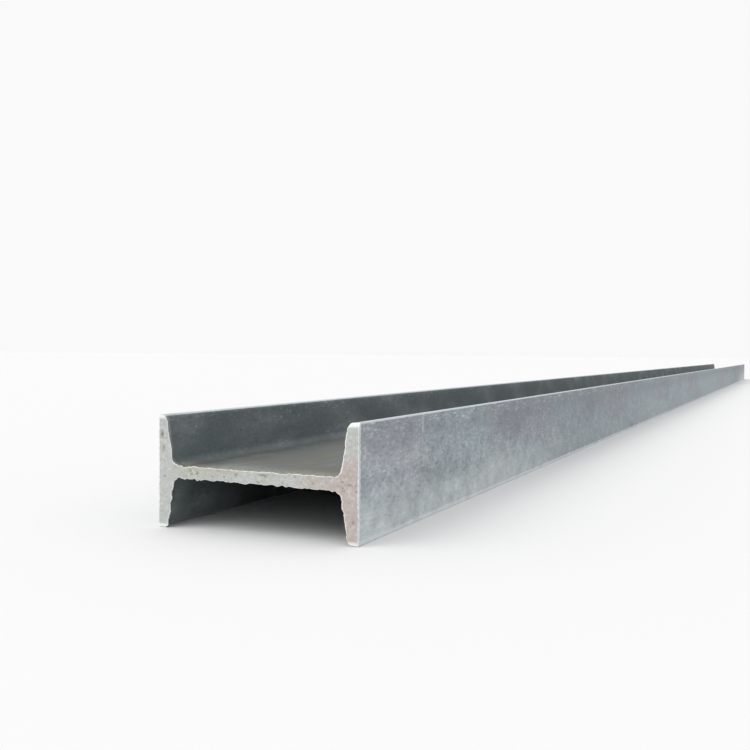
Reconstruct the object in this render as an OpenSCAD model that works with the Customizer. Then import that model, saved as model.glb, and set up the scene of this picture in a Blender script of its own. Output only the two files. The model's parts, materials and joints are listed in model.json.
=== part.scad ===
// Hot-rolled steel I-beam with tapered flanges, one length of stock.
// It lies on its side: the web is level and the beam rests on two flange edges.
// X runs across the depth of the section, Y along the beam, Z up.
// The origin is under the middle of the beam, on the floor.

/* [Stock] */
// Length of the beam
beam_length = 6000; // [500:50:12000]

/* [Section] */
// Depth of the section, over the outer faces of both flanges
depth = 200; // [120:1:400]
// Width of each flange
flange_w = 102; // [80:1:160]
// Thickness of the web
web_t = 9; // [5:0.1:14]
// Thickness of a flange, halfway between the web's face and the flange's edge
flange_t = 11.4; // [8.5:0.1:20]
// Run of the flange's inner face for one unit of rise
flange_taper = 6; // [6:0.5:20]

/* [Edges] */
// Radius of the fillet between web and flange
root_r = 9; // [3:0.1:16]
// Radius of the flange's inner edge
toe_r = 4.5; // [1:0.1:8]
// Radius of the flange's outer edge
edge_r = 1; // [0.4:0.1:2]

/* [Hidden] */

half_depth = depth / 2;
half_flange = flange_w / 2;
half_web = web_t / 2;
slope = 1 / flange_taper;
slant = sqrt(1 + slope * slope);
// Height above the middle of the web at which flange_t is measured
gauge = (half_flange + half_web) / 2;
// Thickness of the flange at its very edge
tip_t = flange_t - slope * (half_flange - gauge);
// The inner edge's radius, held to what the flange's edge has room for
inner_edge_r = min(toe_r, (tip_t - edge_r) / slant);
// Facets of a full circle, where an arc shows as facets
arc_facets = 96;
// How far a fillet's back is sunk in the metal, as a share of its diagonal
sink = 0.2;

// Place of the flange's inner face at a height above the middle of the web
function inner_face(height) = half_depth - flange_t + slope * (height - gauge);

// The section is symmetric, so its corners are worked out once, for the upper right quarter.
// Each is the sharp corner, the circle that rounds it, and the two points where they touch.
web_corner = [inner_face(half_web), half_web];
root_centre = [inner_face(half_web + root_r) - root_r * slant, half_web + root_r];
root_on_web = [root_centre.x, half_web];
root_on_flange = root_centre + root_r * [1, -slope] / slant;

toe_corner = [inner_face(half_flange), half_flange];
toe_centre = [
    inner_face(half_flange - inner_edge_r) + inner_edge_r * slant,
    half_flange - inner_edge_r
];
toe_on_flange = toe_centre + inner_edge_r * [-1, slope] / slant;
toe_on_edge = [toe_centre.x, half_flange];

outer_corner = [half_depth, half_flange];
outer_centre = outer_corner - [edge_r, edge_r];
outer_on_edge = [outer_centre.x, half_flange];
outer_on_face = [half_depth, outer_centre.y];

// One quarter of the outline, from the web to the outer face, with its corners cut straight
quarter = [web_corner, toe_on_flange, toe_on_edge, outer_on_edge, outer_on_face];

function turned(points, across, up) = [for (p = points) [across * p.x, up * p.y]];
function backwards(points) = [for (i = [len(points) - 1 : -1 : 0]) points[i]];

// A piece of pie that rounds a corner cut straight from one touching point to the other
module outside_round(corner, touch_a, touch_b, centre, radius) {
    intersection() {
        polygon([centre, touch_a, corner, touch_b]);
        translate(centre) circle(r = radius, $fn = arc_facets);
    }
}

// The fillet that fills an inside corner as far as the arc, with its back sunk in the metal
module inside_fillet(corner, touch_a, touch_b, centre, radius) {
    sunk_corner = corner + sink * (corner - centre);
    difference() {
        polygon([sunk_corner, touch_a, centre, touch_b]);
        translate(centre) circle(r = radius, $fn = arc_facets);
    }
}

module section() {
    polygon(concat(
        turned(quarter, 1, 1),
        backwards(turned(quarter, 1, -1)),
        turned(quarter, -1, -1),
        backwards(turned(quarter, -1, 1))
    ));
    for (across = [0, 1], up = [0, 1]) mirror([across, 0]) mirror([0, up]) {
        inside_fillet(web_corner, root_on_web, root_on_flange, root_centre, root_r);
        outside_round(toe_corner, toe_on_flange, toe_on_edge, toe_centre, inner_edge_r);
        outside_round(outer_corner, outer_on_edge, outer_on_face, outer_centre, edge_r);
    }
}

module i_beam() {
    color("silver")
        translate([0, beam_length / 2, half_flange])
            rotate([90, 0, 0])
                linear_extrude(height = beam_length)
                    section();
}

i_beam();
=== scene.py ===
# %% [markdown]
# # A rolled steel I-beam, lying on its side
#
# The real thing is one bar of steel. Grooved rolls squeeze it to shape while it is red hot, a hot saw
# cuts it to length, and a bath of molten zinc gives it its dull grey skin.
# A beam could be a box with a picture on it, but here its shape is worked out with numpy. The section's
# outline is carried along the length, and both cut ends are closed with a fine grid, so that the torn
# edges which the saw leaves are real geometry. One material then tells the zinc skin from the cut ends.

# %% The frame
import json

import bpy
import numpy as np
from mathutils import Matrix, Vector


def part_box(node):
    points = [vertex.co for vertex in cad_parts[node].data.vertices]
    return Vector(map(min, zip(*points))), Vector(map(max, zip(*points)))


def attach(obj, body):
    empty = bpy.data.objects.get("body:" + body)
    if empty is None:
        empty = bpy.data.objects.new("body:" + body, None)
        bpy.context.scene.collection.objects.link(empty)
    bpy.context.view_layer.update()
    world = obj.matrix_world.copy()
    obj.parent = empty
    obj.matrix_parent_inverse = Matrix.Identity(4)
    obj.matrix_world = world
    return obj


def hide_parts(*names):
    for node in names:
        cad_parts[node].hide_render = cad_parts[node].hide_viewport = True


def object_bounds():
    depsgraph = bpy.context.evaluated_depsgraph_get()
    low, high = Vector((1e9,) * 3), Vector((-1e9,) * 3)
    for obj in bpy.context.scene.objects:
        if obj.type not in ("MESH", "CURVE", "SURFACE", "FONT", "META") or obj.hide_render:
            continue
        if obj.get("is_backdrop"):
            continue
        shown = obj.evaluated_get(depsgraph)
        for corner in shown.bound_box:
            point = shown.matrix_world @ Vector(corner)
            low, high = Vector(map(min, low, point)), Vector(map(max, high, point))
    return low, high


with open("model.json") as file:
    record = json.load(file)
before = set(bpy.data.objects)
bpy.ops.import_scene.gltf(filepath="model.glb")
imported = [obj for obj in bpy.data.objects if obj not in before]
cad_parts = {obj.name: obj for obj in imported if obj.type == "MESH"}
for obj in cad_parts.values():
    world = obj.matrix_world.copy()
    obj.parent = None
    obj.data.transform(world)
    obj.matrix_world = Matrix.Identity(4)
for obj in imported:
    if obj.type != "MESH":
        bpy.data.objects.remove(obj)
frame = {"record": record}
cad_low, cad_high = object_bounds()
MM = 0.001

# %% [markdown]
# ## Reading the sizes
#
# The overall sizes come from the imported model, and the web's thickness from the two mounts on its faces,
# so that this skin can't drift away from the solid it stands for. What neither of them says, such as
# the flange's thickness and the radii, is named here once.

# %% Sizes of the section
beam_low, beam_high = (np.array(corner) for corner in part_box("i_beam"))
depth, length, flange_w = beam_high - beam_low
mounts = {mount["name"]: np.array(mount["pos_m"]) for mount in frame["record"]["mounts"]}
web_t = mounts["web_top"][2] - mounts["web_underside"][2]
NEAR_END = beam_low[1]
MID_HEIGHT = (beam_low[2] + beam_high[2]) / 2

FLANGE_T = 11.4 * MM
TAPER = 1 / 6
ROOT_R = 9 * MM
TOE_R = 4.5 * MM
EDGE_R = 1 * MM
print(f"section {depth / MM:.1f} x {flange_w / MM:.1f} mm, web {web_t / MM:.1f} mm, length {length:.2f} m")

# %% [markdown]
# ## Noise to work with
#
# Rolled and sawn steel is never quite even. Each unevenness below is value noise: random numbers on a
# lattice, with smooth slopes between them. It is worked out for all points at once, and a seed fixes it,
# so that every run gives the same beam.


# %% Smooth noise
def lattice_value(cell, seed):
    """A random number from -1 to 1 for each lattice point: its whole coordinates, scrambled."""
    x, y, z = (cell[:, axis].astype(np.int64) for axis in range(3))
    mixed = x * 73856093 ^ y * 19349663 ^ z * 83492791 ^ seed * 2654435761
    mixed = (mixed ^ (mixed >> 13)) * 1274126177 & 0x7FFFFFFF
    mixed = (mixed ^ (mixed >> 16)) * 668265263 & 0x7FFFFFFF
    return mixed / 0x3FFFFFFF - 1


def smooth_noise(points, size, seed):
    """Between the eight lattice points round each point, blend their values by 3t^2 - 2t^3 along each axis."""
    scaled = np.asarray(points) / size
    base = np.floor(scaled)
    t = scaled - base
    t = t * t * (3 - 2 * t)
    total = np.zeros(len(scaled))
    for corner in np.ndindex(2, 2, 2):
        weight = np.prod(np.where(corner, t, 1 - t), axis=1)
        total += weight * lattice_value(base + corner, seed)
    return total


def layered_noise(points, size, seed, layers=3):
    """Add smooth noises, each half the size and half the height of the one before."""
    total = np.zeros(len(points))
    for layer in range(layers):
        total += smooth_noise(points, size / 2**layer, seed + layer) / 2**layer
    return total


def fade(value, start, end):
    """0 up to start, 1 from end on, and smooth between."""
    t = np.clip((value - start) / (end - start), 0, 1)
    return t * t * (3 - 2 * t)


# %% [markdown]
# ## The section's outline
#
# A tapered-flange beam has four quarters that mirror each other. So only the upper right quarter is
# worked out: the inner face leans one part in six, a large radius joins it to the web, and a smaller one
# rounds the flange's toe. Where a circle meets a straight, both have the same direction.

# %% The upper right quarter, seen from the near end, with the web's middle at height 0
half_depth, half_flange, half_web = depth / 2, flange_w / 2, web_t / 2
slant = np.hypot(1, TAPER)
gauge = (half_flange + half_web) / 2


def inner_face(height):
    """Half the depth less the flange's thickness there, which falls by the taper as height grows."""
    return half_depth - FLANGE_T + TAPER * (height - gauge)


root_centre = np.array([inner_face(half_web + ROOT_R) - ROOT_R * slant, half_web + ROOT_R])
toe_centre = np.array([inner_face(half_flange - TOE_R) + TOE_R * slant, half_flange - TOE_R])
edge_centre = np.array([half_depth - EDGE_R, half_flange - EDGE_R])
print(f"the web is flat for {2 * root_centre[0] / MM:.1f} mm between its fillets")


# %% Curves of the outline
def arc(centre, radius, start, end, count=40):
    """Points at even angles, in degrees, on a circle."""
    angle = np.radians(np.linspace(start, end, count))
    return centre + radius * np.stack([np.cos(angle), np.sin(angle)], axis=1)


def spaced(points, count):
    """The same curve with count even steps along its length."""
    run = np.concatenate([[0], np.cumsum(np.hypot(*np.diff(points, axis=0).T))])
    even = np.linspace(0, run[-1], count + 1)
    return np.stack([np.interp(even, run, points[:, axis]) for axis in range(2)], axis=1)


LEAN = np.degrees(np.arctan(TAPER))
SKEW = 45
ACROSS_FLANGE, UP_FLANGE, ACROSS_WEB, ALONG_WEB = 12, 48, 16, 190

fillet_up = arc(root_centre, ROOT_R, -SKEW, -LEAN)
fillet_down = arc(root_centre, ROOT_R, -SKEW, -90)
behind_fillet = np.array([half_depth, fillet_up[0, 1]])
toe_up = arc(toe_centre, TOE_R, 180 - LEAN, 180 - SKEW)
toe_to_edge = [arc(toe_centre, TOE_R, 180 - SKEW, 90), arc(edge_centre, EDGE_R, 90, SKEW)]

inner_up = spaced(np.vstack([fillet_up, toe_up]), UP_FLANGE)
tip = spaced(np.vstack(toe_to_edge), ACROSS_FLANGE)
outer_up = spaced(np.vstack([behind_fillet, arc(edge_centre, EDGE_R, 0, SKEW)]), UP_FLANGE)
outer_mid = np.linspace(behind_fillet * [1, -1], behind_fillet, ACROSS_WEB + 1)
web_over = spaced(np.vstack([fillet_down, (fillet_down * [-1, 1])[::-1]]), ALONG_WEB)

# %% [markdown]
# ## One closed outline
#
# The curves are strung together anticlockwise, as seen from the near end. Each is kept as a range of
# places in the outline, because the end faces are later gridded between the same points. Then the grid
# and the long faces share them, and the skin has no seams to close.

# %% The outline and its ranges
DOWN, LEFT = np.array([1, -1]), np.array([-1, 1])
outer = np.vstack([(outer_up * DOWN)[::-1], outer_mid[1:-1], outer_up])
STRETCHES = {
    "right outer": outer,
    "right tip over": tip[::-1],
    "right inner over": inner_up[::-1],
    "web over": web_over,
    "left inner over": inner_up * LEFT,
    "left tip over": tip * LEFT,
    "left outer": (outer * LEFT)[::-1],
    "left tip under": (tip * LEFT * DOWN)[::-1],
    "left inner under": (inner_up * LEFT * DOWN)[::-1],
    "web under": (web_over * DOWN)[::-1],
    "right inner under": inner_up * DOWN,
    "right tip under": tip * DOWN,
}
outline = np.vstack([curve[:-1] for curve in STRETCHES.values()])
starts = np.cumsum([0] + [len(curve) - 1 for curve in STRETCHES.values()])
PLACES = {
    name: np.arange(start, start + len(curve)) % len(outline)
    for (name, curve), start in zip(STRETCHES.items(), starts)
}
step = np.roll(outline, -1, axis=0) - np.roll(outline, 1, axis=0)
outward = np.stack([step[:, 1], -step[:, 0]], axis=1) / np.hypot(*step.T)[:, None]
around = np.concatenate([[0], np.cumsum(np.hypot(*np.diff(outline, axis=0).T))])
turns = np.roll(outline, -1, axis=0)
area = (outline[:, 0] * turns[:, 1] - outline[:, 1] * turns[:, 0]).sum() / 2
print(f"{len(outline)} points round the section, {around[-1] / MM:.0f} mm long, area {area / MM**2:.0f} mm2")

# %% [markdown]
# ## Torn edges
#
# A hot saw drags the soft steel with it and leaves a ragged lip, the burr. It is high under the web and
# on the flanges' inner faces, where the blade leaves the metal, and slight on the outside. Its height is
# noise that depends on the place round the outline, and it dies out within a few millimetres of the cut.
# Handling then wears the rim itself, most of all on the tips of the flanges.

# %% The burr round a cut end
BURR_REACH = 3.2 * MM
EDGE_WEAR = {  # height of the burr, how ragged it is, and depth of wear, in millimetres
    "right outer": (0.5, 0.25, 0.4),
    "right tip over": (0.0, 0.0, 0.6),
    "right inner over": (2.1, 0.35, 0.4),
    "web over": (1.2, 0.6, 0.4),
    "left inner over": (1.0, 0.4, 0.4),
    "left tip over": (0.0, 0.0, 0.8),
    "left outer": (0.4, 0.25, 0.4),
    "left tip under": (0.0, 0.0, 0.5),
    "left inner under": (2.0, 0.9, 0.4),
    "web under": (1.8, 1.2, 0.4),
    "right inner under": (1.8, 0.7, 0.4),
    "right tip under": (0.0, 0.0, 0.7),
}


def softened(values, width=13):
    """A running mean round the closed outline, so that one stretch's value runs into the next one's."""
    bell = np.hanning(width + 2)[1:-1]
    padded = np.concatenate([values[-(width // 2) :], values, values[: width // 2]])
    return np.convolve(padded, bell / bell.sum(), mode="valid")


burr_height, raggedness, wear = np.zeros((3, len(outline)))
for name, sizes in EDGE_WEAR.items():
    for values, size in zip((burr_height, raggedness, wear), sizes):
        values[PLACES[name]] = size * MM
burr_height, raggedness, wear = softened(burr_height), softened(raggedness), softened(wear)


def burr(from_end, seed):
    """Height plus ragged noise, times a bell over the distance from the cut, less the wear, which ends sooner."""
    spots = np.stack([outline[:, 0], np.full(len(outline), from_end * 0.6), outline[:, 1]], axis=1)
    uneven = layered_noise(spots, 9 * MM, seed) + 0.6 * layered_noise(spots, 3.4 * MM, seed + 5, layers=2)
    uneven = 0.85 * uneven + 0.6 * smooth_noise(spots, 1.6 * MM, seed + 13)
    patchy = 0.6 + 0.6 * fade(smooth_noise(spots, 30 * MM, seed + 9), -0.4, 0.4)
    height = burr_height + raggedness * np.clip(uneven, -1.3, 1.3) * patchy
    lip = np.exp(-((from_end / BURR_REACH) ** 2)) * np.clip(height, 0, None)
    return lip - wear * (1 - fade(from_end / (wear + 0.4 * MM), 0, 1.5))


def ring(from_end, seed):
    """The outline, pushed along its outward direction by the burr at that distance from the end."""
    return outline + outward * burr(from_end, seed)[:, None]


# %% [markdown]
# ## Grids over the cut ends
#
# Each flange's end is a patch stretched between its four edges: the blend of the two long edges, plus
# the blend of the two short ones, less the blend of the corners. The web's end is ruled straight between
# its upper and lower edge. The patches meet on a line behind the fillets, where they share points.


# %% Patches between curves
def stretched_patch(inner, outer_edge, under, over):
    """Blend inner to outer and under to over, add them, and take away the blend of the four corners."""
    up = np.linspace(0, 1, len(inner))[:, None, None]
    side = np.linspace(0, 1, len(under))[None, :, None]
    between_sides = (1 - side) * inner[:, None] + side * outer_edge[:, None]
    between_tips = (1 - up) * under[None] + up * over[None]
    corners = (1 - up) * ((1 - side) * under[0] + side * under[-1])
    corners = corners + up * ((1 - side) * over[0] + side * over[-1])
    return between_sides + between_tips - corners


def flange_patch(rim, side):
    """A flange's end between its inner face, outer face and two tips, with a straight line behind the web."""
    curve = {part: rim[PLACES[f"{side} {part}"]] for part in ("outer", "tip over", "tip under")}
    over, under = (rim[PLACES[f"{side} inner {part}"]] for part in ("over", "under"))
    if side == "right":
        over, outer_edge, tip_under, tip_over = over[::-1], curve["outer"], curve["tip under"], curve["tip over"][::-1]
        under = under[::-1]
    else:
        outer_edge, tip_under, tip_over = curve["outer"][::-1], curve["tip under"][::-1], curve["tip over"]
    behind_web = np.linspace(under[-1], over[0], ACROSS_WEB + 1)[1:-1]
    return stretched_patch(np.vstack([under, behind_web, over]), outer_edge, tip_under, tip_over)


def web_patch(rim):
    """Straight lines from the web's underside to its upper side, from the left seam to the right one."""
    over, under = rim[PLACES["web over"]][::-1], rim[PLACES["web under"]]
    up = np.linspace(0, 1, ACROSS_WEB + 1)[None, :, None]
    return (1 - up) * under[:, None] + up * over[:, None]


# %% [markdown]
# ## Numbering the points of an end
#
# Points on the rim keep their number in the outline, and points inside the patches get the next
# numbers. Where two patches meet, the web takes the flange's numbers.

# %% Which point of an end is which
flange_rows = 2 * UP_FLANGE + ACROSS_WEB + 1
seam = slice(UP_FLANGE, UP_FLANGE + ACROSS_WEB + 1)
numbers = {side: np.full((flange_rows, ACROSS_FLANGE + 1), -1) for side in ("right", "left")}
numbers["web"] = np.full((ALONG_WEB + 1, ACROSS_WEB + 1), -1)
for side, turn in (("right", 1), ("left", -1)):
    grid = numbers[side]
    grid[:, -1] = PLACES[f"{side} outer"][::turn]
    grid[-1] = PLACES[f"{side} tip over"][::-turn]
    grid[0] = PLACES[f"{side} tip under"][::turn]
    grid[: UP_FLANGE + 1, 0] = PLACES[f"{side} inner under"][::-turn]
    grid[-UP_FLANGE - 1 :, 0] = PLACES[f"{side} inner over"][::-turn]
numbers["web"][:, -1] = PLACES["web over"][::-1]
numbers["web"][:, 0] = PLACES["web under"]
next_number = len(outline)
for part in ("right", "left"):
    inside = numbers[part] < 0
    numbers[part][inside] = next_number + np.arange(inside.sum())
    next_number += inside.sum()
numbers["web"][0], numbers["web"][-1] = numbers["left"][seam, 0], numbers["right"][seam, 0]
inside = numbers["web"] < 0
numbers["web"][inside] = next_number + np.arange(inside.sum())
end_count = next_number + inside.sum()
print(f"{end_count} points on each end")


def grid_quads(grid):
    """The four corners of each cell, in the order in which the grid's rows and columns grow."""
    corners = [grid[:-1, :-1], grid[:-1, 1:], grid[1:, 1:], grid[1:, :-1]]
    return np.stack([corner.ravel() for corner in corners], axis=1)


end_quads = np.vstack(
    [grid_quads(numbers["right"]), grid_quads(numbers["left"])[:, ::-1], grid_quads(numbers["web"])[:, ::-1]]
)


def end_points(rim):
    """Every point of an end, across and up, in the order of its numbers."""
    points = np.zeros((end_count, 2))
    points[: len(outline)] = rim
    for part, patch in (
        ("right", flange_patch(rim, "right")),
        ("left", flange_patch(rim, "left")),
        ("web", web_patch(rim)),
    ):
        fresh = numbers[part] >= len(outline)
        points[numbers[part][fresh]] = patch[fresh]
    return points


# %% [markdown]
# ## The face of a cut
#
# A sawn face isn't flat. It swells and dips by a few tenths of a millimetre, the teeth leave fine
# ridges, and here and there a tooth tears out a small pit. The height of the face over its flat plane is
# the sum of these, and the same pits are kept as a value on the points, so that the material can darken them.
# One flange's upper corner has been knocked back, where the beam was once set down on it.

# %% Height of a cut face
PITS = [  # across, height over the web, width, height of the pit, depth
    (-96.6 * MM, 33 * MM, 1.7 * MM, 3.4 * MM, 0.9 * MM),
    (-95.0 * MM, 21 * MM, 1.0 * MM, 2.6 * MM, 0.7 * MM),
    (-58.0 * MM, 0.5 * MM, 1.0 * MM, 0.8 * MM, 0.5 * MM),
    (-18.0 * MM, 1.5 * MM, 1.6 * MM, 0.7 * MM, 0.5 * MM),
    (9.0 * MM, 2.4 * MM, 4.0 * MM, 0.7 * MM, 0.6 * MM),
    (95.5 * MM, -31 * MM, 0.9 * MM, 1.6 * MM, 0.5 * MM),
]
KNOCK = 2.6 * MM


def pitting(points, mirrored):
    """The deepest of the pits' bells at each point, and how much of a pit is there, from 0 to 1."""
    across, up = points.T
    hollow, share = np.zeros(len(points)), np.zeros(len(points))
    for at_x, at_z, wide, high, deep in PITS:
        bell = np.exp(-(((across - at_x * mirrored) / wide) ** 2) - ((up - at_z * mirrored) / high) ** 2)
        hollow = np.maximum(hollow, deep * bell)
        share = np.maximum(share, bell)
    return hollow, share


def cut_relief(points, seed, mirrored=1):
    """Swells, tears and tooth ridges over the flat cut, less the pits and a knocked corner. Positive is proud."""
    spots = np.stack([points[:, 0], np.zeros(len(points)), points[:, 1]], axis=1)
    swell = 0.25 * MM * smooth_noise(spots, 28 * MM, seed)
    torn = 0.16 * MM * layered_noise(spots, 4 * MM, seed + 20)
    ridges = 0.05 * MM * smooth_noise(spots * [1, 1, 0.12], 1.3 * MM, seed + 40)
    hollow, share = pitting(points, mirrored)
    knock = KNOCK * fade(points[:, 1], half_flange - 5 * MM, half_flange) * (points[:, 0] * mirrored > 0)
    return swell + torn + ridges - hollow - knock, share


# %% [markdown]
# ## Rings along the beam
#
# The rings that carry the outline stand close together at the ends, where the burr is, and each step
# inwards is a little longer than the one before, up to a hand's width. This spends the points where
# there is something to see.

# %% Where the rings stand
FIRST_STEP, GROWTH, LONGEST_STEP = 0.3 * MM, 0.2, 0.16
distances = [0.0]
while distances[-1] < length / 2:
    distances.append(distances[-1] + min(FIRST_STEP + GROWTH * distances[-1], LONGEST_STEP))
distances = np.array(distances[:-1])
stations = np.concatenate([distances, (length - distances)[::-1]])
from_end = np.minimum(stations, length - stations)
print(f"{len(stations)} rings, the closest {FIRST_STEP / MM:.1f} mm apart")

# %% [markdown]
# ## The whole skin
#
# All points are made as arrays: the near end, the rings between, and the far end, whose rim is the last
# ring. Rolled faces are slightly wavy, so each ring's points also move outwards by long, shallow noise.

# %% Points and faces of the beam
NEAR_SEED, FAR_SEED = 11, 57
WAVE = 0.12 * MM


def ring_at(station):
    """The burred outline at a distance along the beam, with the shallow waves of the rolled faces."""
    near = station < length / 2
    shape = ring(min(station, length - station), NEAR_SEED if near else FAR_SEED)
    spots = np.stack([outline[:, 0], np.full(len(outline), station), outline[:, 1]], axis=1)
    return shape + outward * (WAVE * smooth_noise(spots, [0.06, 0.4, 0.06], 5))[:, None]


def in_place(points, along):
    """Across, along and up, with the near end at the frame's near end and the web at mid height."""
    return np.stack([points[:, 0], NEAR_END + along, points[:, 1] + MID_HEIGHT], axis=1)


near_face, far_face = end_points(ring_at(0)), end_points(ring_at(length))
near_relief, near_pits = cut_relief(near_face, NEAR_SEED)
far_relief, far_pits = cut_relief(far_face, FAR_SEED, mirrored=-1)
RELIEF_REACH = 3 * MM
rings = []
for station, gap in zip(stations[1:-1], from_end[1:-1]):
    relief = -near_relief if station < length / 2 else far_relief
    rings.append(in_place(ring_at(station), station + relief[: len(outline)] * np.exp(-gap / RELIEF_REACH)))
points = np.vstack([in_place(near_face, -near_relief), in_place(far_face, length + far_relief), *rings])

near_rim = np.arange(len(outline))
ring_starts = 2 * end_count + np.arange(len(rings)) * len(outline)
loops = np.vstack([near_rim, ring_starts[:, None] + near_rim, near_rim + end_count])
here, ahead = loops[:-1], loops[1:]
side_quads = np.stack([here, ahead, np.roll(ahead, -1, axis=1), np.roll(here, -1, axis=1)], axis=-1).reshape(-1, 4)
quads = np.vstack([end_quads, end_quads[:, ::-1] + end_count, side_quads])
print(f"{len(points)} points, {2 * len(quads)} triangles")


# %% [markdown]
# ## From arrays to a mesh
#
# The arrays go into the mesh in one piece. Three values ride along on the points and faces for the
# material: which faces were cut, how near a point is to a sharp rim, and where the pits are.


# %% The mesh and its values
def quad_mesh(name, points, quads):
    """A mesh of four-cornered faces, filled from whole arrays."""
    mesh = bpy.data.meshes.new(name)
    mesh.vertices.add(len(points))
    mesh.vertices.foreach_set("co", points.astype(np.float32).ravel())
    mesh.loops.add(quads.size)
    mesh.loops.foreach_set("vertex_index", quads.astype(np.int32).ravel())
    mesh.polygons.add(len(quads))
    mesh.polygons.foreach_set("loop_start", np.arange(0, quads.size, 4, dtype=np.int32))
    mesh.polygons.foreach_set("use_smooth", np.ones(len(quads), dtype=bool))
    mesh.update(calc_edges=True)
    mesh.validate()
    return mesh


def keep_value(mesh, name, domain, values):
    """Stores one number for each point or face, for the material to read by name."""
    layer = mesh.attributes.new(name, "FLOAT", domain)
    layer.data.foreach_set("value", np.asarray(values, dtype=np.float32))


beam_mesh = quad_mesh("rolled_beam", points, quads)
is_cut = np.zeros(len(quads))
is_cut[: 2 * len(end_quads)] = 1
keep_value(beam_mesh, "cut_face", "FACE", is_cut)

at_rim = np.zeros(len(points))
at_rim[loops] = np.exp(-from_end / (2 * MM))[:, None]
keep_value(beam_mesh, "rim", "POINT", at_rim)

pit_share = np.zeros(len(points))
pit_share[:end_count], pit_share[end_count : 2 * end_count] = near_pits, far_pits
keep_value(beam_mesh, "pit", "POINT", pit_share)

beam = bpy.data.objects.new("rolled_beam", beam_mesh)
bpy.context.scene.collection.objects.link(beam)
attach(beam, "root")
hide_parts("i_beam")


# %% [markdown]
# ## A workbench for materials
#
# Patterns are sums and products of noises, which read best as ordinary sums in Python. A Signal wraps
# a node's output, and arithmetic on it adds Math nodes. Every other node comes from the bench's one
# method, which takes its type, its settings and its inputs.


# %% Signals and the bench
class Signal:
    """One output of a node. Arithmetic on it adds Math nodes to the same material."""

    def __init__(self, bench, node, output):
        self.bench = bench
        self.node = node
        self.socket = node.outputs[output]

    def also(self, output):
        """Another output of the same node."""
        return Signal(self.bench, self.node, output)

    def maths(self, operation, first, second):
        return self.bench.node("ShaderNodeMath", {"operation": operation}, {0: first, 1: second})

    def __add__(self, other):
        return self.maths("ADD", self, other)

    def __radd__(self, other):
        return self.maths("ADD", other, self)

    def __sub__(self, other):
        return self.maths("SUBTRACT", self, other)

    def __rsub__(self, other):
        return self.maths("SUBTRACT", other, self)

    def __mul__(self, other):
        return self.maths("MULTIPLY", self, other)

    def __rmul__(self, other):
        return self.maths("MULTIPLY", other, self)

    def __abs__(self):
        return self.maths("ABSOLUTE", self, 0.0)


class Bench:
    """The node tree of one new material."""

    def __init__(self, name):
        self.material = bpy.data.materials.new(name)
        self.material.use_nodes = True
        self.tree = self.material.node_tree
        self.tree.nodes.clear()

    def node(self, kind, settings, inputs, output=0):
        """Adds a node, sets it, fills its sockets with numbers or links, and returns one output, if it has any."""
        node = self.tree.nodes.new(kind)
        for name, value in settings.items():
            setattr(node, name, value)
        for name, value in inputs.items():
            if isinstance(value, Signal):
                self.tree.links.new(value.socket, node.inputs[name])
            else:
                node.inputs[name].default_value = value
        return Signal(self, node, output) if node.outputs else None

    def place(self, stretch):
        """Object coordinates, multiplied by stretch along each axis."""
        spot = self.node("ShaderNodeTexCoord", {}, {}, output="Object")
        return self.node("ShaderNodeMapping", {"vector_type": "POINT"}, {"Vector": spot, "Scale": stretch})

    def noise(self, size, stretch=(1, 1, 1), detail=2.0, roughness=0.5):
        """Noise from 0 to 1 with features about size metres wide, longer along axes stretched by less than 1."""
        inputs = {"Vector": self.place(stretch), "Scale": 1 / size, "Detail": detail, "Roughness": roughness}
        return self.node("ShaderNodeTexNoise", {"noise_dimensions": "3D"}, inputs)

    def flecks(self, spacing, width, share, stretch=(1, 1, 1)):
        """1 inside scattered uneven spots of about that width, in only a share of the cells, else 0."""
        cells = self.node("ShaderNodeTexVoronoi", {}, {"Vector": self.place(stretch), "Scale": 1 / spacing})
        chosen = self.between(self.split(cells.also("Color"), "X"), 1 - share, 1.02 - share)
        uneven = (self.noise(width * 0.5, stretch, detail=1) - 0.5) * (1.1 * width / spacing)
        return chosen * self.between(cells + uneven, width / spacing, 0.5 * width / spacing)

    def between(self, value, start, end):
        """0 where value is at start or before it, 1 where it is at end or past it, and smooth between."""
        inputs = {"Value": value, "From Min": start, "From Max": end}
        return self.node("ShaderNodeMapRange", {"interpolation_type": "SMOOTHSTEP"}, inputs)

    def blend(self, share, first, second):
        """The first colour where share is 0, the second where it is 1."""
        inputs = {0: share, 6: first, 7: second}
        return self.node("ShaderNodeMix", {"data_type": "RGBA"}, inputs, output=2)

    def stored(self, name):
        """A value kept on the mesh."""
        return self.node("ShaderNodeAttribute", {"attribute_name": name}, {}, output="Fac")

    def split(self, vector, axis):
        """One coordinate of a vector."""
        return self.node("ShaderNodeSeparateXYZ", {}, {0: vector}, output=axis)

    def paint(self, mesh, finish):
        """Ends the tree with a Principled surface of the given inputs, and gives the mesh the material."""
        surface = self.node("ShaderNodeBsdfPrincipled", {}, finish)
        self.node("ShaderNodeOutputMaterial", {}, {"Surface": surface})
        mesh.materials.append(self.material)


# %% [markdown]
# ## Where on the beam
#
# The finish changes from place to place, so a few shares from 0 to 1 say where a point is: on a cut end,
# in a channel, near the top or the resting edge of a flange, or on a face that looks up.

# %% Shares that say where a point is
bench = Bench("dull_zinc")
spot = bench.place((1, 1, 1))
across, along, up = (bench.split(spot, axis) for axis in "XYZ")
facing_up = bench.split(bench.node("ShaderNodeNewGeometry", {}, {}, output="True Normal"), "Z")
is_sawn, at_rim = bench.stored("cut_face"), bench.stored("rim")
from_cut = length / 2 - abs(along)
from_web = abs(up - MID_HEIGHT)
in_channel = bench.between(abs(across), half_depth - 1.5 * MM, half_depth - 2.5 * MM)
near_tip = bench.between(from_web, half_flange - 1.8 * MM, half_flange - 0.6 * MM)
# A share that grows towards the bottom of the beam, where the zinc is paler
toward_bottom = bench.between(up, half_flange + 10 * MM, 4 * MM)
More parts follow.
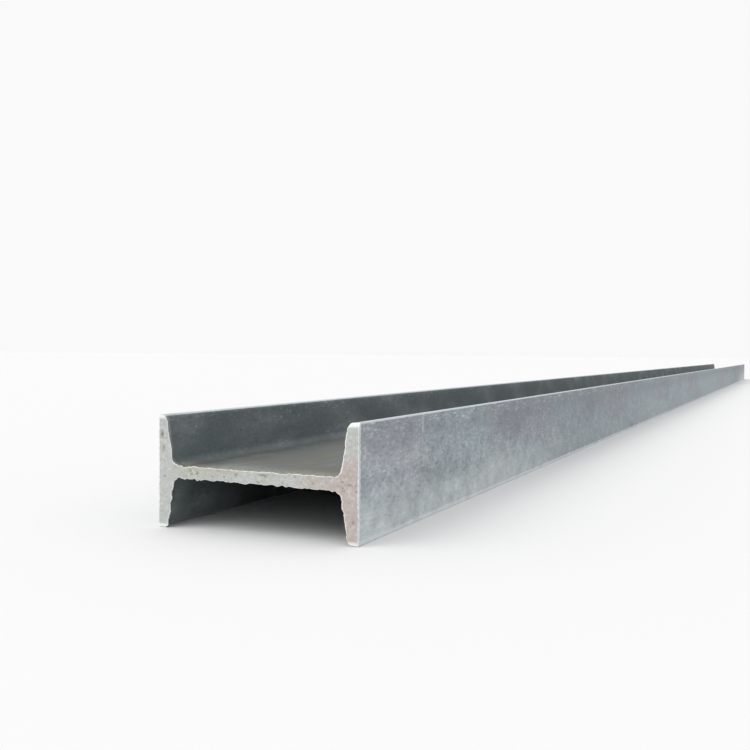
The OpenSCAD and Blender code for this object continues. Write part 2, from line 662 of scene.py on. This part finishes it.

# %% [markdown]
# ## Dull zinc
#
# Old hot-dip zinc is a soft grey, half way between a metal and a mineral. It is mottled by patches a few
# centimetres wide that lean to blue, to green or to violet, with short streaks across the beam where
# the bath ran off it. Pale and dark grains a millimetre or two wide are scattered over it. The
# lower part of the beam is paler, most of all along its lowest few millimetres.
# All of it follows Object coordinates. Noise that is stretched across the beam gives streaks up the
# flanges and over the web at once, because both run square to the length.

# %% Colours of the zinc, in linear light
ZINC_BLUE = (0.375, 0.40, 0.43, 1)
ZINC_GREEN = (0.315, 0.375, 0.405, 1)
ZINC_VIOLET = (0.31, 0.325, 0.37, 1)
ZINC_DARK = (0.13, 0.15, 0.165, 1)
ZINC_PALE = (0.68, 0.72, 0.75, 1)
ZINC_LOW_PALE = (0.55, 0.595, 0.60, 1)
# The channels' grime and the web's dust are dark enough to stand for painted shade as well as dirt
GRIME_AND_SHADE = (0.058, 0.080, 0.078, 1)
DUST_AND_SHADE = (0.13, 0.125, 0.098, 1)
SCUFFED = (0.40, 0.38, 0.32, 1)

# %% The zinc's pattern
hue_patches = bench.noise(0.06, (0.9, 0.3, 0.9), detail=3)
violet_patches = bench.noise(0.07, (0.9, 0.22, 0.9), detail=3)
smudges = bench.noise(0.13, (1.0, 0.35, 1.0), detail=5, roughness=0.65)
freckled = bench.between(bench.noise(0.04, (1.0, 0.6, 1.0), detail=3), 0.42, 0.6)
mottle = bench.noise(0.012, (0.8, 0.6, 0.8), detail=3, roughness=0.6)
streaks = bench.noise(0.0034, (0.2, 1.0, 0.2), detail=2, roughness=0.55)
streaky = bench.between(bench.noise(0.045, detail=2), 0.42, 0.65)
grain = bench.noise(0.0026, (1.0, 0.4, 1.0), detail=3, roughness=0.65)
dashes = bench.noise(0.0016, (1.0, 0.12, 1.0), detail=2)

greener = bench.between(hue_patches + bench.between(from_cut, 0.1, 1.0) * 0.28, 0.46, 0.70)
zinc = bench.blend(greener, ZINC_BLUE, ZINC_GREEN)
high = bench.between(up + (mottle - 0.5) * 0.03, half_flange + 5 * MM, flange_w - 12 * MM)
high_violet = bench.between(violet_patches + high * 0.08 - toward_bottom * 0.1, 0.44, 0.62)
zinc = bench.blend(high_violet * 0.9, zinc, ZINC_VIOLET)
near_half = 1 - bench.between(from_cut, 0.35, 0.9) * 0.85
zinc = bench.blend(toward_bottom * near_half * (0.3 + mottle * 1.1), zinc, ZINC_LOW_PALE)
tone = grain * 0.45 + mottle * 0.35 + (streaks * streaky + 0.5 * (1 - streaky)) * 0.2
zinc = bench.blend(bench.between(tone, 0.51, 0.36) * (0.6 - toward_bottom * 0.35), zinc, ZINC_DARK)
zinc = bench.blend(bench.between(tone, 0.5, 0.66) * 0.6, zinc, ZINC_PALE)
# Painted shade: the zinc darkens from a tenth of a metre in from each cut, more towards the flanges' upper edges
inwards = bench.between(from_cut, 0.1, 0.8) - bench.between(from_cut, 1.0, 2.0) * 0.5
zinc = bench.blend(inwards * (0.33 - toward_bottom * 0.08), zinc, ZINC_DARK)
# Painted shade: darker towards the flanges' upper edges
zinc = bench.blend(high * 0.3, zinc, ZINC_DARK)
zinc = bench.blend(bench.between(smudges, 0.55, 0.72) * 0.4, zinc, ZINC_DARK)
zinc = bench.blend(bench.flecks(0.006, 0.0018, 0.5, (0.8, 0.6, 0.8)) * (freckled * 0.55 + 0.08), zinc, ZINC_PALE)
zinc = bench.blend(bench.flecks(0.007, 0.0017, 0.45, (0.8, 0.6, 0.8)) * (0.55 - freckled * 0.25 - toward_bottom * 0.2), zinc, ZINC_DARK)
zinc = bench.blend(bench.flecks(0.03, 0.004, 0.5, (0.16, 1, 0.16)) * 0.25, zinc, ZINC_PALE)
by_edge = bench.between(from_web + (mottle - 0.5) * 0.02, half_flange - 15 * MM, half_flange - 4 * MM)
zinc = bench.blend(bench.between(dashes, 0.55, 0.72) * by_edge * 0.5, zinc, ZINC_PALE)
# Paler along the lowest few millimetres of the beam
lowest_band = bench.between(up, 6 * MM, 3 * MM)
zinc = bench.blend(lowest_band * (0.25 + mottle * 0.9), zinc, ZINC_PALE)

# %% [markdown]
# ## Wear, dirt, painted shade and painted highlights on the zinc
#
# The flanges' tips are rubbed pale, with a painted highlight on top, and the rim next to a cut is rubbed bright.
# The channels are grimy and darkened with painted shade, and dust, deepened with painted shade too, lies on
# the web's upper side, the only wide face that looks up. Near the ends that side is scuffed pale, where beams were
# drawn out of the stack.

# %% Rubbed edges and painted highlights, grime, dust and painted shade
ragged = bench.noise(0.004, detail=3, roughness=0.65)
# Painted highlight along the flanges' tips, together with the rubbed wear
rubbed_and_highlight = near_tip * (0.35 + ragged * 0.7)
skin = bench.blend(rubbed_and_highlight, zinc, ZINC_PALE)
by_cut = bench.between(from_cut, 8 * MM, 1 * MM)
skin = bench.blend(bench.between(by_cut * 0.6 + ragged * 0.9, 0.78, 1.0) * 0.65, skin, ZINC_PALE)
# Grime and painted shade: the channels are darkened more than dirt alone would make them
grimy_and_shaded = in_channel * (1 - near_tip) * bench.between(bench.noise(0.04, (1, 0.4, 1), detail=4), 0.0, 0.62)
skin = bench.blend(grimy_and_shaded * 0.82, skin, GRIME_AND_SHADE)
# Dust and painted shade: the web's upper side is darkened beyond the dust's own colour
web_top = bench.between(facing_up, 0.6, 0.95) * in_channel
dusty_and_shaded = web_top * bench.between(from_web, 8 * MM, 5 * MM)
skin = bench.blend(dusty_and_shaded * bench.between(bench.noise(0.05, (1, 0.4, 1), detail=4), 0.25, 0.6) * 0.75, skin, DUST_AND_SHADE)
scuffed = web_top * bench.between(from_cut + (ragged - 0.5) * 0.08, 0.05, 0.005)
skin = bench.blend(scuffed * bench.between(ragged, 0.3, 0.7), skin, SCUFFED)

# %% [markdown]
# ## The cut ends
#
# The bath wets a sawn face less evenly, so it is paler and bare of streaks. Iron shows through it as a
# rosy bloom, mostly on one flange and its half of the web, and damp has left a trace of green near the
# toes. The pits are darker.

# %% The cut's colour
CUT_GREY = (0.47, 0.49, 0.475, 1)
CUT_PALE = (0.66, 0.67, 0.64, 1)
# The colour of the painted highlights along the cut's rim and the flanges' tips
CUT_HIGHLIGHT = (0.86, 0.88, 0.86, 1)
CUT_ROSE = (0.46, 0.385, 0.36, 1)
CUT_MOSS = (0.42, 0.435, 0.36, 1)
CUT_RUST = (0.33, 0.25, 0.16, 1)
CUT_TAN = (0.43, 0.36, 0.26, 1)
CUT_DARK = (0.13, 0.12, 0.095, 1)

cut_patches = bench.noise(0.03, detail=3)
cut_grain = bench.noise(0.0028, detail=3, roughness=0.7)
rose = bench.between(across + (cut_patches - 0.5) * 0.09, 0.03, 0.088)
rose = rose * bench.between(up + (cut_patches - 0.5) * 0.03, 0.088, 0.06)
on_web = bench.between(from_web, 10 * MM, 5 * MM)
web_left = on_web * bench.between(across, 0.01, -0.04) * bench.between(across, -0.094, -0.084)
moss = bench.between(cut_patches, 0.5, 0.68) * 0.5 + web_left * 0.35
cut = bench.blend(moss, CUT_GREY, CUT_MOSS)
cut = bench.blend(rose * 0.8, cut, CUT_ROSE)
cut = bench.blend(bench.between(cut_grain, 0.5, 0.7) * 0.5, cut, CUT_PALE)
cut = bench.blend(bench.between(cut_grain, 0.42, 0.28) * 0.4, cut, CUT_DARK)
cut = bench.blend(bench.flecks(0.005, 0.0016, 0.4) * bench.between(cut_patches, 0.45, 0.6) * 0.5, cut, CUT_RUST)
cut = bench.blend(bench.flecks(0.0035, 0.0013, 0.45, (0.6, 1, 1)) * on_web * 0.45, cut, CUT_DARK)
tan = web_left * bench.between(across, -0.075, -0.055) * bench.between(up - MID_HEIGHT, 0.5 * MM, 4 * MM)
cut = bench.blend(tan * bench.between(cut_grain, 0.42, 0.56) * 0.7, cut, CUT_TAN)
# Painted highlight: a bright line along the cut's rim and its burr
lip = bench.between(at_rim, 0.05, 0.6)
cut = bench.blend(lip * (0.35 + bench.between(ragged, 0.35, 0.55) * 0.55), cut, CUT_HIGHLIGHT)
# Painted highlight: a bright band on the cut along each flange's tips
cut = bench.blend(bench.between(from_web, half_flange - 5 * MM, half_flange - 2 * MM) * 0.75, cut, CUT_HIGHLIGHT)
# The pits are darkened
cut = bench.blend(bench.stored("pit") * 0.8, cut, CUT_DARK)

# %% [markdown]
# ## One finish for the whole beam
#
# The cut faces' stored share picks the colour. Relief finer than the mesh is left to bump: grains
# a tenth of a millimetre high, the low ridges of the streaks, and a coarser grain on the cuts.

# %% The finished material
colour = bench.blend(is_sawn, skin, cut)
relief = grain * 0.00012 + mottle * 0.0002 + streaks * 0.00012 + is_sawn * (cut_grain * 0.0006)
bumps = bench.node("ShaderNodeBump", {}, {"Strength": 1.0, "Distance": 1.0, "Height": relief})
roughness = 0.5 + mottle * 0.2 + is_sawn * 0.1
finish = {
    "Base Color": colour,
    "Roughness": roughness,
    "Metallic": 0.35 - is_sawn * 0.2,
    "Specular IOR Level": 0.3,
    "Normal": bumps,
}
bench.paint(beam_mesh, finish)
print(f"{len(bench.tree.nodes)} nodes in the finish")

# %% [markdown]
# ## Studio
#
# The beam lies on a pale floor, under a bright even sky. A broad soft light over the near end, from the
# left, makes the cut face the brightest, and leaves the outer flange in half tone.

# %% Floor, sky and lights
FLOOR_RADIUS = 60.0
turn = np.linspace(0, 2 * np.pi, 96, endpoint=False)
floor_rim = np.stack([np.cos(turn), np.sin(turn), np.zeros(96)], axis=1) * FLOOR_RADIUS
floor_mesh = bpy.data.meshes.new("floor")
floor_mesh.from_pydata(floor_rim.tolist(), [], [list(range(96))])
floor = bpy.data.objects.new("floor", floor_mesh)
bpy.context.scene.collection.objects.link(floor)
floor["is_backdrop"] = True
Bench("pale_floor").paint(floor_mesh, {"Base Color": (0.78, 0.78, 0.78, 1), "Roughness": 0.9})

world = bpy.data.worlds.new("bright_sky")
world.use_nodes = True
world.node_tree.nodes["Background"].inputs["Color"].default_value = (1, 1, 1, 1)
world.node_tree.nodes["Background"].inputs["Strength"].default_value = 0.95
bpy.context.scene.world = world

sun_data = bpy.data.lights.new("soft_sun", "SUN")
sun_data.energy = 1.2
sun_data.angle = np.radians(50)
sun = bpy.data.objects.new("soft_sun", sun_data)
sun.rotation_euler = np.radians([42, 0, -38])
bpy.context.scene.collection.objects.link(sun)

# %% [markdown]
# ## Camera
#
# The eye is low, half a beam's depth above the flanges, and so close to the near end that the far one
# shrinks to a sliver. It stands off the near end's lower right corner.

# %% Camera
EYE_FROM_CORNER = np.array([0.3243, -0.6810, 0.1597])
LOOK_TURN, LOOK_DOWN, TILT = 24.51, 1.40, -0.51
LENS, SENSOR = 44.5, 36.0
camera_data = bpy.data.cameras.new("eye")
camera_data.lens = LENS
camera_data.sensor_width = SENSOR
camera_data.clip_start = 0.02
camera_data.clip_end = 200.0
camera = bpy.data.objects.new("eye", camera_data)
near_corner = np.array([beam_high[0], beam_low[1], beam_low[2]])
camera.location = near_corner + EYE_FROM_CORNER
camera.rotation_euler = np.radians([90 - LOOK_DOWN, TILT, LOOK_TURN])
bpy.context.scene.collection.objects.link(camera)
bpy.context.scene.camera = camera
bpy.context.scene.view_settings.view_transform = "Standard"

# %% Sizes, and the end
low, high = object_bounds()
sizes = {"cad": [list(cad_low), list(cad_high)], "visual": [list(low), list(high)]}
print("grown by, in mm:", np.round((np.array(sizes["visual"]) - sizes["cad"]) / MM, 2).tolist())
